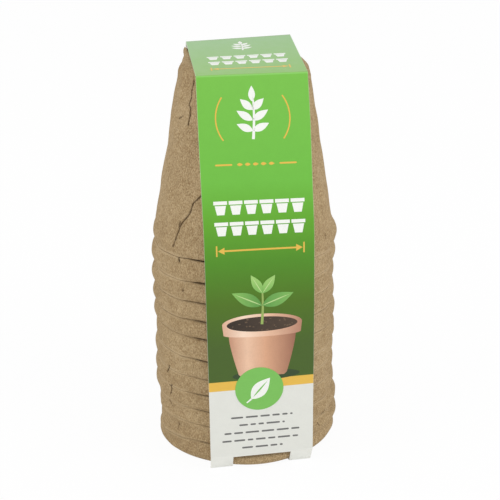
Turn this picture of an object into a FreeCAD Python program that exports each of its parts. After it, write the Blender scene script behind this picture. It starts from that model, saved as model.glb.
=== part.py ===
import FreeCAD, Part
import math
import os

# Round fibre plant pots, nested bases up, held together by one folded card sleeve.
# Millimetres, +Z up. The origin is on the surface the stack stands on, at the middle of its footprint.
# The sleeve's front panel faces -Y, and the sleeve slides off the stack along X.

# Fibre pots
pot_count = 12
pot_height = 79.5
rim_radius = 40.0
rim_thickness = 1.95
rim_height = 8.26
lip_width = 0.7
wall_thickness = 1.15
base_thickness = 1.5
base_rounding = 4.5
drain_hole_radius = 5.0

# Clearances in the nest: under each rim, and between the walls
seat_gap = 0.1
wall_gap = 0.14

# Card sleeve
card_thickness = 0.45
sleeve_width = 45.2
leg_height = 6.5
leg_lean = 1.3
bend_rise = 6.0
bend_radius = 60.0
slot_width = 25.6
slot_height = 5.4
slot_reach = 6.5
overlap_length = 15.0
overlap_drop = 34.0

# Clearances between the sleeve and the stack, so that it slides
rest_gap = 0.3
side_gap = 0.75
cut_overrun = 1.0

# The nest: each rim's edge stands on the shoulder of the next pot's rim
nest_step = rim_height + seat_gap
taper = (wall_thickness + wall_gap) / nest_step
mouth_radius = rim_radius - rim_thickness
lip_radius = mouth_radius + lip_width
stack_bottom = card_thickness + rest_gap
top_pot_bottom = stack_bottom + (pot_count - 1) * nest_step
stack_top = top_pot_bottom + pot_height


def inner_radius(height):
    """Inside of a pot's wall at a height above its mouth."""
    return mouth_radius - taper * height


def outer_radius(height):
    """Outside of a pot's wall at a height above its mouth."""
    return inner_radius(height) + wall_thickness


def in_xz(point):
    return FreeCAD.Vector(point[0], 0, point[1])


def in_yz(point):
    return FreeCAD.Vector(0, point[0], point[1])


def line(start, end, plane):
    return Part.LineSegment(plane(start), plane(end)).toShape()


def corner_round(before, corner, after, radius, plane):
    """Ends and edge of the arc that rounds a corner between two straight lines."""
    to_before = FreeCAD.Vector(before[0] - corner[0], before[1] - corner[1], 0).normalize()
    to_after = FreeCAD.Vector(after[0] - corner[0], after[1] - corner[1], 0).normalize()
    half_angle = to_before.getAngle(to_after) / 2
    at = FreeCAD.Vector(corner[0], corner[1], 0)
    start = at + to_before * (radius / math.tan(half_angle))
    end = at + to_after * (radius / math.tan(half_angle))
    middle_way = (to_before + to_after).normalize()
    middle = at + middle_way * (radius / math.sin(half_angle) - radius)
    points = [(point.x, point.y) for point in (start, middle, end)]
    arc = Part.Arc(*[plane(point) for point in points]).toShape()
    return points[0], arc, points[2]


def pot_profile():
    """Half section of one pot, mouth down, with its edge at height 0."""
    inside_top = pot_height - base_thickness
    hole_top = (drain_hole_radius, pot_height)
    base_corner = (outer_radius(pot_height), pot_height)
    wall_foot = (outer_radius(rim_height), rim_height)
    shoulder = (lip_radius, rim_height)
    widest = (rim_radius, rim_height / 2)
    lip_outer = (lip_radius, 0)
    lip_inner = (mouth_radius, 0)
    inside_corner = (inner_radius(inside_top), inside_top)
    hole_bottom = (drain_hole_radius, inside_top)
    inside_rounding = base_rounding - wall_thickness
    top_start, top_arc, top_end = corner_round(hole_top, base_corner, wall_foot, base_rounding, in_xz)
    in_start, in_arc, in_end = corner_round(lip_inner, inside_corner, hole_bottom, inside_rounding, in_xz)
    rim_arc = Part.Arc(in_xz(shoulder), in_xz(widest), in_xz(lip_outer)).toShape()
    return Part.Wire([
        line(hole_top, top_start, in_xz),
        top_arc,
        line(top_end, wall_foot, in_xz),
        line(wall_foot, shoulder, in_xz),
        rim_arc,
        line(lip_outer, lip_inner, in_xz),
        line(lip_inner, in_start, in_xz),
        in_arc,
        line(in_end, hole_bottom, in_xz),
        line(hole_bottom, hole_top, in_xz),
    ])


def make_pot():
    full_turn = 360
    axis_point = FreeCAD.Vector(0, 0, 0)
    axis_way = FreeCAD.Vector(0, 0, 1)
    return Part.Face(pot_profile()).revolve(axis_point, axis_way, full_turn)


def sleeve_side():
    """Inner corners of the sleeve's back half, from the bottom fold up to the top fold."""
    panel = rim_radius + side_gap
    fold_low = (panel - leg_lean, card_thickness)
    crease = (panel, leg_height)
    bend = (panel, top_pot_bottom + rim_height + bend_rise)
    fold_high = (outer_radius(pot_height) + rest_gap, stack_top + rest_gap)
    return fold_low, crease, bend, fold_high


def sleeve_loop():
    """Inner line of the folded card, in the YZ plane."""
    fold_low, crease, bend, fold_high = sleeve_side()
    bend_start, bend_arc, bend_end = corner_round(crease, bend, fold_high, bend_radius, in_yz)
    back = [
        line(fold_low, crease, in_yz),
        line(crease, bend_start, in_yz),
        bend_arc,
        line(bend_end, fold_high, in_yz),
    ]
    centre = FreeCAD.Vector(0, 0, 0)
    to_front = FreeCAD.Vector(0, 1, 0)
    front = [edge.mirror(centre, to_front) for edge in back]
    bottom = line((-fold_low[0], fold_low[1]), fold_low, in_yz)
    top = line((-fold_high[0], fold_high[1]), fold_high, in_yz)
    return Part.Wire(Part.sortEdges(back + front + [bottom, top])[0])


def overlap_strip():
    """Glued end of the card, lying inside the back panel above the bend."""
    fold_low, crease, bend, fold_high = sleeve_side()
    down = FreeCAD.Vector(bend[0] - fold_high[0], bend[1] - fold_high[1], 0).normalize()
    inwards = FreeCAD.Vector(down.y, -down.x, 0)
    top = FreeCAD.Vector(fold_high[0], fold_high[1], 0) + down * overlap_drop
    bottom = top + down * overlap_length
    corners = [top, bottom, bottom + inwards * card_thickness, top + inwards * card_thickness, top]
    wire = Part.makePolygon([in_yz((point.x, point.y)) for point in corners])
    return extrude_card(Part.Face(wire))


def extrude_card(section):
    section.translate(FreeCAD.Vector(-sleeve_width / 2, 0, 0))
    return section.extrude(FreeCAD.Vector(sleeve_width, 0, 0))


def rim_slot(side):
    """Cutter of the slot across one bottom fold, on the front (-1) or the back (1)."""
    fold_low = sleeve_side()[0]
    inner_end = fold_low[0] - slot_reach
    length = slot_reach + leg_lean + card_thickness + cut_overrun
    low_y = inner_end if side > 0 else -inner_end - length
    corner = FreeCAD.Vector(-slot_width / 2, low_y, -cut_overrun)
    return Part.makeBox(slot_width, length, slot_height + cut_overrun, corner)


def make_sleeve():
    inner = sleeve_loop()
    outer = inner.makeOffset2D(card_thickness)
    loop = extrude_card(Part.Face(outer).cut(Part.Face(inner)).Faces[0])
    sleeve = loop.fuse(overlap_strip())
    for side in (-1, 1):
        sleeve = sleeve.cut(rim_slot(side))
    return sleeve.removeSplitter().Solids[0]


def save(name, shape):
    shape.exportStep(os.path.join("parts", name + ".step"))
    print(name, round(shape.Volume, 1), shape.isValid(), len(shape.Solids))


def main():
    os.makedirs("parts", exist_ok=True)
    pot = make_pot()
    for number in range(1, pot_count + 1):
        placed = pot.copy()
        placed.translate(FreeCAD.Vector(0, 0, stack_bottom + (pot_count - number) * nest_step))
        save(f"pot_{number:02d}", placed)
    save("card_sleeve", make_sleeve())


main()
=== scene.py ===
import math

import bmesh
import bpy
import numpy as np
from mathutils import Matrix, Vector


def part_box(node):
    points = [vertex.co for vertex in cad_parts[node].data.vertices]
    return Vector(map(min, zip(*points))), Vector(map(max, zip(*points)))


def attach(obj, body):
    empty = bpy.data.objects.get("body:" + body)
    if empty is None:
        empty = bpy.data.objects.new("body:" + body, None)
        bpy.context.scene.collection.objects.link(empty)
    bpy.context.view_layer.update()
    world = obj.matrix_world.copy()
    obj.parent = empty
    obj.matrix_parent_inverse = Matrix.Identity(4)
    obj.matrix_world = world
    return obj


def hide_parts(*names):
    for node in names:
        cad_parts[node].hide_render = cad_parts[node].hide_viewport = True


bl_info = {
    "name": "Fibre Pot Stack",
    "version": (1, 0, 0),
    "blender": (4, 5, 0),
    "location": "View3D > Sidebar > Pot Stack",
    "description": "Nested fibre pots in a printed card sleeve, made over a fixed frame",
    "category": "Add Mesh",
}

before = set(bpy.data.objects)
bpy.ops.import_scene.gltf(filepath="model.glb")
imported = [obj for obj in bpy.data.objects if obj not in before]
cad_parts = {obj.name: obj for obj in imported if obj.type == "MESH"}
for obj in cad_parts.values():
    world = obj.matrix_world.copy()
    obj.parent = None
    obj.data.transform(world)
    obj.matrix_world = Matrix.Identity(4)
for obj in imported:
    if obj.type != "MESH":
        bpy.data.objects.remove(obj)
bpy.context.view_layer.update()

MM = 0.001
POT_NODES = sorted(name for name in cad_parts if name.startswith("pot_"))
LAST_POT = len(POT_NODES) - 1
SLEEVE_NODE = "card_sleeve"
STACK_BODY = "stack"
SLEEVE_BODY = "sleeve"
TOP_LOW, TOP_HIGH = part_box(POT_NODES[0])
NEXT_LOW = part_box(POT_NODES[1])[0]
CARD_LOW, CARD_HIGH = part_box(SLEEVE_NODE)
RIM_RADIUS = TOP_HIGH.x
POT_HEIGHT = TOP_HIGH.z - TOP_LOW.z
NEST_STEP = TOP_LOW.z - NEXT_LOW.z
CARD_WIDTH = CARD_HIGH.x - CARD_LOW.x

# How the stack stands, from the top pot down. Each rim hangs below its even place in the nest,
# rises towards the camera's right (roll) and leans back. It is pushed to the right (shift) and
# swollen, most at its widest circle
POT_LIFTS_MM = (-0.6, -1.23, -1.69, -2.03, -2.43, -2.82, -2.82, -2.67, -2.36, -1.73, -0.96, 0.0)
POT_ROLLS_MM = (-0.59, 0.44, 0.54, 0.34, -0.19, -0.72, 0.38, 0.51, -0.22, -0.69, -0.4, 0.23)
POT_LEANS_DEG = (1.35, 0.3, 0.3, 0.7, 1.5, -1.2, -0.3, 0.6, 1.0, 1.8, 1.0, -0.25)
POT_SHIFTS_MM = (0.3, -0.47, -0.73, -0.44, -0.06, 0.38, -0.12, -0.07, 0.17, 1.52, 2.3, 1.1)
RIM_SWELLS_MM = (0.16, 0.3, 0.1, 0.02, 0.15, -0.2, -0.18, -0.14, 0.03, -0.2, -0.55, -0.35)
# How far the mouths of some pots hang down at the camera's left, by pot, and how far round
LEFT_DROPS_MM = {9: 1.2, 10: 4.6}
DROP_SPREAD = 0.5
# Grooves between the rims, from the top down: where each gap ends on the left, as an azimuth, how
# far it opens, and how flush the groove is pressed to the left of that. On the right, all are
# pressed alike
GAP_ENDS_DEG = (-56, -52, -54, -57, -50, -48, -47, -48, -44, -43, -44)
GAP_OPENINGS_MM = (0.30, 0.44, 0.36, 0.42, 0.36, 0.36, 0.28, 0.30, 0.26, 0.18, 0.16)
GROOVES_SHUT_MM = (1.05, 0.95, 0.85, 0.8, 0.25, 0.9, 0.9, 0.9, 0.7, 0.5, 0.9)
RIGHT_SHUT_MM = 1.2
# A groove pressed this flush counts as closed, and a gap this wide as fully dark with painted shade
CLOSED_MM = 0.6
DARK_GAP_MM = 0.4
# How far the top pot's wall stands out at the camera's left and right, by height above its mouth,
# all in mm, and how far round in radians
WALL_SWELLS_MM = (
    (8.0, 0.85, 0.20), (14.0, 0.80, 0.20), (21.0, 0.55, 0.20), (27.0, 0.58, 0.18),
    (34.0, 0.45, 0.15), (42.0, -0.10, 0.05), (50.0, 0.10, 0.05), (58.0, 0.38, -0.02),
    (65.0, 0.50, -0.05), (70.0, 0.25, 0.0), (73.0, 0.20, 0.1), (75.5, 0.45, -0.25),
    (77.5, 0.25, -1.45), (79.5, 0.15, -2.5))
SWELL_SPREAD = 0.85

# Tears in the pots' skin, by pot: azimuth from the front in degrees, height above the mouth in mm
TEARS = {
    0: (
        ((-56.2, 74.8), (-56.5, 73.7), (-57.9, 70.6), (-56.6, 68.1), (-59.1, 64.9),
         (-56.4, 63.6), (-56.5, 60.4), (-57.2, 56.3)),
        ((-36.0, 29.8), (-39.5, 28.1), (-45.4, 24.4), (-47.5, 19.7), (-50.0, 17.4),
         (-54.0, 13.9), (-55.6, 10.6), (-56.4, 8.6), (-56.5, 5.4), (-58.0, 3.9)),
        ((-54.3, 15.4), (-55.2, 13.7), (-55.1, 11.9)),
        ((-72.0, 57.4), (-65.8, 59.2)),
        ((67.0, 60.2), (70.5, 58.6)),
        ((58.2, 46.2), (58.5, 44.9)),
        ((59.8, 43.4), (60.1, 42.3)),
        ((55.4, 19.6), (55.7, 17.8)),
        ((53.1, 8.2), (50.7, 5.9)),
        ((70.2, 7.7), (69.2, 7.0)),
    ),
    1: (((-52.6, 8.4), (-52.2, 7.6), (-51.6, 6.9)), ((53.0, 7.2), (54.0, 5.6))),
    2: (((-48.7, 5.6), (-48.8, 4.6)),),
    6: (((-64.6, 1.2), (-65.0, 0.2)),),
    7: (((-65.1, 8.2), (-66.7, 5.9)), ((-62.0, 0.8), (-62.3, 0.1))),
    8: (((-65.1, 8.2), (-62.9, 7.9), (-61.8, 6.8), (-63.3, 4.0)),),
    9: (((-66.2, 7.6), (-65.0, 6.4), (-64.5, 5.0)), ((48.4, 0.3), (51.2, 2.3))),
    10: (((-58.3, 5.6), (-58.6, 4.2), (-59.3, 3.0)), ((42.9, 6.3), (44.7, 4.4))),
}
TEAR_DEPTH = 0.6 * MM
TEAR_EDGE_HEIGHT = 0.2 * MM
TEAR_EDGE_WIDTH = 1.1 * MM

# The print on the front panel, in mm below the top crease
FADE_LENGTH_MM = 130
PICTURE_FOOT_MM = 129.8
STRIPE_FOOT_MM = 134.0


class PotSizes(bpy.types.PropertyGroup):
    """Sizes and colours of the moulded pots."""
    rim_thickness: bpy.props.FloatProperty(
        name="Rim thickness", description="From the mouth's inner edge out to the widest circle",
        default=1.95 * MM, unit="LENGTH")
    rim_height: bpy.props.FloatProperty(
        name="Rim height", description="From the mouth's edge up to the rim's shoulder",
        default=8.26 * MM, unit="LENGTH")
    lip_width: bpy.props.FloatProperty(
        name="Lip width", description="Edge of the mouth, in to out",
        default=0.7 * MM, unit="LENGTH")
    wall_thickness: bpy.props.FloatProperty(
        name="Wall thickness", description="Thickness of the side wall",
        default=1.15 * MM, unit="LENGTH")
    wall_gap: bpy.props.FloatProperty(
        name="Nest gap", description="Room between the walls of two nested pots",
        default=0.14 * MM, unit="LENGTH")
    base_thickness: bpy.props.FloatProperty(
        name="Base thickness", description="Thickness of the closed end",
        default=1.5 * MM, unit="LENGTH")
    base_rounding: bpy.props.FloatProperty(
        name="Base rounding", description="Radius of the corner between wall and base",
        default=4.5 * MM, unit="LENGTH")
    hole_radius: bpy.props.FloatProperty(
        name="Drain hole radius", description="Hole in the middle of the base",
        default=5.0 * MM, unit="LENGTH")
    lump_height: bpy.props.FloatProperty(
        name="Lumps", description="How far the moulded skin wanders from a true cone",
        default=0.16 * MM, unit="LENGTH")
    fibre_dark: bpy.props.FloatVectorProperty(
        name="Dark fibre", description="Colour of the darkest mottles", subtype="COLOR",
        size=3, default=(0.27, 0.174, 0.083))
    fibre_mid: bpy.props.FloatVectorProperty(
        name="Fibre", description="Colour of most of the skin", subtype="COLOR",
        size=3, default=(0.40, 0.283, 0.147))
    fibre_light: bpy.props.FloatVectorProperty(
        name="Light fibre", description="Colour of pale fibres and rubbed lips", subtype="COLOR",
        size=3, default=(0.54, 0.407, 0.238))


class CardSizes(bpy.types.PropertyGroup):
    """Sizes and colours of the card sleeve."""
    thickness: bpy.props.FloatProperty(
        name="Card thickness", description="Thickness of the card",
        default=0.45 * MM, unit="LENGTH")
    slot_width: bpy.props.FloatProperty(
        name="Slot width", description="Width of the slots across the bottom folds",
        default=25.6 * MM, unit="LENGTH")
    twist: bpy.props.FloatProperty(
        name="Twist", description="Turn of the sleeve's foot against its middle",
        default=math.radians(2.39), unit="ROTATION")
    green: bpy.props.FloatVectorProperty(
        name="Bright green", description="Print colour at the top", subtype="COLOR",
        size=3, default=(0.18, 0.505, 0.066))
    # The top panel's green print, paler towards the back crease with a painted reflection of the
    # white surroundings
    top_near: bpy.props.FloatVectorProperty(
        name="Top green, front", description="Top panel at its front crease", subtype="COLOR",
        size=3, default=(0.195, 0.45, 0.058))
    top_far_with_sheen: bpy.props.FloatVectorProperty(
        name="Top green, back", description="Top panel at its back crease", subtype="COLOR",
        size=3, default=(0.225, 0.455, 0.158))
    mid_green: bpy.props.FloatVectorProperty(
        name="Middle green", description="Print colour at the top of the picture",
        subtype="COLOR", size=3, default=(0.075, 0.25, 0.012))
    dark_green: bpy.props.FloatVectorProperty(
        name="Dark green", description="Print colour behind the picture", subtype="COLOR",
        size=3, default=(0.06, 0.115, 0.016))
    yellow: bpy.props.FloatVectorProperty(
        name="Yellow", description="Stripe and rules", subtype="COLOR",
        size=3, default=(0.76, 0.47, 0.075))
    pale: bpy.props.FloatVectorProperty(
        name="Pale grey", description="Lower part of the front", subtype="COLOR",
        size=3, default=(0.73, 0.735, 0.685))
    # Lighter than the front's grey: painted light on the folds that lean in and face down
    pale_foot_painted_light: bpy.props.FloatVectorProperty(
        name="Foot grey", description="Folds below the front's lowest crease", subtype="COLOR",
        size=3, default=(0.83, 0.835, 0.785))
    badge: bpy.props.FloatVectorProperty(
        name="Badge green", description="Disc that overlaps the stripe", subtype="COLOR",
        size=3, default=(0.19, 0.50, 0.10))
    white: bpy.props.FloatVectorProperty(
        name="White ink", description="Ornaments on the green", subtype="COLOR",
        size=3, default=(0.86, 0.87, 0.83))
    board: bpy.props.FloatVectorProperty(
        name="Board", description="Bare inside and cut edges of the card", subtype="COLOR",
        size=3, default=(0.84, 0.83, 0.80))


class StageSizes(bpy.types.PropertyGroup):
    """Camera and lights."""
    distance: bpy.props.FloatProperty(
        name="Camera distance", description="From the camera to the point that it looks at",
        default=591.2 * MM, unit="LENGTH")
    elevation: bpy.props.FloatProperty(
        name="Camera elevation", description="Angle of the view below level",
        default=math.radians(19.97), unit="ROTATION")
    azimuth: bpy.props.FloatProperty(
        name="Camera azimuth", description="Angle of the view off the sleeve's front, to the left",
        default=math.radians(9.16), unit="ROTATION")
    target_side: bpy.props.FloatProperty(
        name="Target side", description="How far right of the stack's middle the camera looks",
        default=2.47 * MM, unit="LENGTH")
    target_height: bpy.props.FloatProperty(
        name="Target height", description="Height that the camera looks at",
        default=85.8 * MM, unit="LENGTH")
    lens: bpy.props.FloatProperty(
        name="Lens", description="Focal length in millimetres on a 36 mm sensor", default=96.66)
    fill: bpy.props.FloatProperty(
        name="Fill", description="Strength of the white surroundings on the object", default=0.78)
    left_key: bpy.props.FloatProperty(
        name="Left soft box", description="Power of the soft light on the left",
        default=4.6, unit="POWER")
    right_key: bpy.props.FloatProperty(
        name="Right soft box", description="Power of the soft light on the right",
        default=6.2, unit="POWER")


def smooth(value, low, high):
    """0 below low, 1 above high, with an even start and end."""
    share = np.clip((value - low) / (high - low), 0, 1)
    return share * share * (3 - 2 * share)


def plateau(value, start, full, ease, end):
    """Rises from 0 at start to 1 at full, and falls back from ease to 0 at end."""
    return smooth(value, start, full) * (1 - smooth(value, ease, end))


def hump(value, middle, width):
    """1 at the middle, falling off evenly to both sides."""
    return np.exp(-((value - middle) / width) ** 2)


def ripple(angle, height, seed, count=48, turns=(2, 26), waves=(20, 420)):
    """Seeded bumps round and up a pot, about 1 high: turns are per round, waves per metre."""
    rng = np.random.default_rng(seed)
    total = np.zeros(np.broadcast(angle, height).shape)
    for _ in range(count):
        around = rng.integers(turns[0], turns[1])
        along = rng.uniform(-waves[1], waves[1])
        along = math.copysign(max(abs(along), waves[0]), along)
        total = total + np.cos(around * angle + along * height + rng.uniform(0, math.tau))
    return total * math.sqrt(2 / count)


def add_object(name, data):
    """A new object in the scene."""
    thing = bpy.data.objects.new(name, data)
    bpy.context.scene.collection.objects.link(thing)
    return thing


def make_mesh(name, verts, faces, materials, face_slots=None, fields=None):
    """A mesh object at the origin, with smooth faces and named values on its points."""
    mesh = bpy.data.meshes.new(name)
    mesh.from_pydata([tuple(v) for v in verts], [], [tuple(f) for f in faces])
    for material in materials:
        mesh.materials.append(material)
    mesh.polygons.foreach_set("use_smooth", [True] * len(mesh.polygons))
    if face_slots is not None:
        mesh.polygons.foreach_set("material_index", face_slots)
    for field, values in (fields or {}).items():
        values = np.asarray(values, dtype=np.float32)
        kind = "FLOAT" if values.ndim == 1 else "FLOAT_VECTOR"
        layer = mesh.attributes.new(field, kind, "POINT")
        layer.data.foreach_set("value" if values.ndim == 1 else "vector", values.ravel())
    mesh.update()
    return add_object(name, mesh)


def dress(piece, body, slot, *nodes):
    """Attach a piece to its body and hide the nodes that it stands in for. Its slot is not used."""
    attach(piece, body)
    if nodes:
        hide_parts(*nodes)
    return piece


# Materials

def add_node(tree, kind, inputs=None, **settings):
    """A node with its settings, and with sockets linked or plain values set on its inputs."""
    node = tree.nodes.new(kind)
    for key, value in settings.items():
        setattr(node, key, value)
    for key, value in (inputs or {}).items():
        if isinstance(value, bpy.types.NodeSocket):
            tree.links.new(value, node.inputs[key])
        else:
            node.inputs[key].default_value = value
    return node


def maths(tree, operation, first, second=0.5, third=0.5):
    """One sum, product or other operation on sockets or plain values."""
    values = {0: first, 1: second, 2: third}
    return add_node(tree, "ShaderNodeMath", values, operation=operation).outputs[0]


def swing(tree, value, gain, base):
    """Base, plus gain times how far the value lies off one half."""
    return maths(tree, "MULTIPLY_ADD", maths(tree, "SUBTRACT", value, 0.5), gain, base)


def share_of(tree, value, low, high, kind="LINEAR"):
    """0 at low and 1 at high."""
    span = {"Value": value, "From Min": low, "From Max": high}
    return add_node(tree, "ShaderNodeMapRange", span, interpolation_type=kind).outputs["Result"]


def step_mask(tree, value, low, high):
    """Mask that rises smoothly from 0 at low to 1 at high."""
    return share_of(tree, value, low, high, "SMOOTHSTEP")


def mix_colour(tree, share, first, second, blend="MIX"):
    """Mix of two colours, each a socket or three plain values."""
    first, second = (
        c if isinstance(c, bpy.types.NodeSocket) else (*c, 1) for c in (first, second))
    node = add_node(tree, "ShaderNodeMix", {0: share, 6: first, 7: second},
                    data_type="RGBA", blend_type=blend)
    return node.outputs[2]


def ramp(tree, value, stops):
    """Colour between stops, each a share and a colour."""
    node = add_node(tree, "ShaderNodeValToRGB", {"Fac": value})
    elements = node.color_ramp.elements
    while len(elements) < len(stops):
        elements.new(0.5)
    for element, (place, colour) in zip(elements, stops):
        element.position = place
        element.color = (*colour, 1)
    return node.outputs["Color"]


def open_group(name, **values):
    """A node group that takes a vector and the named values."""
    tree = bpy.data.node_groups.new(name, "ShaderNodeTree")
    tree.interface.new_socket("Vector", in_out="INPUT", socket_type="NodeSocketVector")
    for label, default in values.items():
        socket = tree.interface.new_socket(label, in_out="INPUT", socket_type="NodeSocketFloat")
        socket.default_value = default
    return tree, tree.nodes.new("NodeGroupInput").outputs


def close_group(tree, **results):
    """Give a node group its named outputs."""
    for label in results:
        tree.interface.new_socket(label, in_out="OUTPUT", socket_type="NodeSocketFloat")
    out = tree.nodes.new("NodeGroupOutput")
    for label, value in results.items():
        tree.links.new(value, out.inputs[label])
    return tree


def noise(tree, vector, scale, detail=2.0, roughness=0.5):
    return add_node(tree, "ShaderNodeTexNoise", {
        "Vector": vector, "Scale": scale, "Detail": detail, "Roughness": roughness}).outputs["Fac"]


def stretched(tree, vector, scale, turn=(0, 0, 0)):
    """Places turned and scaled, so that a noise on them is drawn out one way."""
    placed = add_node(tree, "ShaderNodeMapping", {
        "Vector": vector, "Rotation": turn, "Scale": scale})
    return placed.outputs["Vector"]


def hair_mask(tree, vector, turn, scale, cut):
    """Short thin fibres that lie one way: stretched noise, kept only where it peaks."""
    lengthwise, softness = 0.11, 0.07
    lying = stretched(tree, vector, (scale, scale, scale * lengthwise), turn)
    return step_mask(tree, noise(tree, lying, 1.0, 2.0, 0.45), cut, cut + softness)


def fibre_group():
    """Tone and height of pressed pulp: cloudy mottles, grains and short fibres."""
    tree, given = open_group("Pressed Fibre")
    vector = given["Vector"]
    cloud = noise(tree, vector, 75.0, 3.0, 0.55)
    mottle = noise(tree, vector, 420.0, 3.0, 0.6)
    grain = noise(tree, stretched(tree, vector, (2300.0, 2300.0, 1300.0)), 1.0, 2.0, 0.6)
    tone = swing(tree, grain, 2.15, swing(tree, mottle, 0.5, swing(tree, cloud, 0.45, 0.5)))
    upright = hair_mask(tree, vector, (0.25, 0.1, 0.0), 2600.0, 0.62)
    slanting = hair_mask(tree, vector, (0.9, 0.5, 0.4), 2400.0, 0.62)
    level = hair_mask(tree, vector, (1.45, 0.2, 1.1), 2500.0, 0.63)
    hairs = maths(tree, "MAXIMUM", maths(tree, "MAXIMUM", upright, slanting), level)
    height = maths(tree, "MULTIPLY_ADD", hairs, 0.35, swing(tree, grain, 1.0, mottle))
    return close_group(tree, Tone=tone, Hairs=hairs, Height=height)


def paper_group():
    """Faint grain of coated card: a tone about 1, a height for its bump and its roughness."""
    tree, given = open_group("Coated Card", Depth=0.05)
    flock = noise(tree, given["Vector"], 260.0, 3.0, 0.6)
    grain = noise(tree, given["Vector"], 2600.0, 2.0, 0.5)
    both = maths(tree, "SUBTRACT", maths(tree, "ADD", flock, grain), 1.0)
    return close_group(
        tree,
        Tone=maths(tree, "MULTIPLY_ADD", both, given["Depth"], 1.0),
        Height=maths(tree, "MULTIPLY_ADD", flock, 1.5, grain),
        Gloss=swing(tree, flock, 0.22, 0.36))


def start_material(name, group, **values):
    """A material with its Principled shader and one placed group, both ready to link."""
    material = bpy.data.materials.new(name)
    material.use_nodes = True
    tree = material.node_tree
    placed = add_node(tree, "ShaderNodeGroup", node_tree=group)
    for key, value in values.items():
        placed.inputs[key].default_value = value
    place = add_node(tree, "ShaderNodeTexCoord").outputs["Object"]
    tree.links.new(place, placed.inputs["Vector"])
    return material, tree, tree.nodes["Principled BSDF"].inputs, placed.outputs


def add_bump(tree, shader, height, distance):
    bump = add_node(tree, "ShaderNodeBump", {
        "Strength": 1.0, "Distance": distance, "Height": height})
    tree.links.new(bump.outputs["Normal"], shader["Normal"])


def field(tree, name, output="Fac"):
    """A named value on the mesh's points."""
    return add_node(tree, "ShaderNodeAttribute", attribute_name=name).outputs[output]


def toned(tree, colour, made):
    """A card colour with its grain."""
    return mix_colour(tree, 1.0, colour, made["Tone"], "MULTIPLY")


def fibre_material(name, pots, group):
    """Matt moulded pulp, darker in tears, with painted shade in gaps, and paler on lips, partly
    worn and partly painted light.
    """
    material, tree, shader, made = start_material(name, group)
    # Dark brown for the tears, also used for the painted shade in gaps between rims and under the
    # sleeve's slot
    tears_and_shade = (0.045, 0.024, 0.010)
    colour = ramp(tree, made["Tone"], (
        (0.18, pots.fibre_dark), (0.50, pots.fibre_mid), (0.86, pots.fibre_light)))
    # Pale hairs, then lips and shoulders made paler, partly worn and partly painted light
    for mask, share in ((made["Hairs"], 0.35), (field(tree, "rubbed_and_lit"), 0.55)):
        colour = mix_colour(tree, maths(tree, "MULTIPLY", mask, share), colour, pots.fibre_light)
    # Dark in tears, and painted shade in the gaps and under the sleeve's slot
    colour = mix_colour(tree, field(tree, "tears_and_shade"), colour, tears_and_shade)
    tree.links.new(colour, shader["Base Color"])
    shader["Roughness"].default_value = 0.92
    shader["Specular IOR Level"].default_value = 0.25
    add_bump(tree, shader, made["Height"], 0.22 * MM)
    return material


def card_parts(tree):
    """Places on the sleeve: across and drop in metres, and the share of the way back on its top."""
    place = field(tree, "card_place", "Vector")
    return add_node(tree, "ShaderNodeSeparateXYZ", {"Vector": place}).outputs


def finish_ink(tree, shader, colour, made):
    """Printed card's colour, soft gloss and faint bump."""
    tree.links.new(colour, shader["Base Color"])
    tree.links.new(made["Gloss"], shader["Roughness"])
    shader["Specular IOR Level"].default_value = 0.3
    add_bump(tree, shader, made["Height"], 0.012 * MM)


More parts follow.
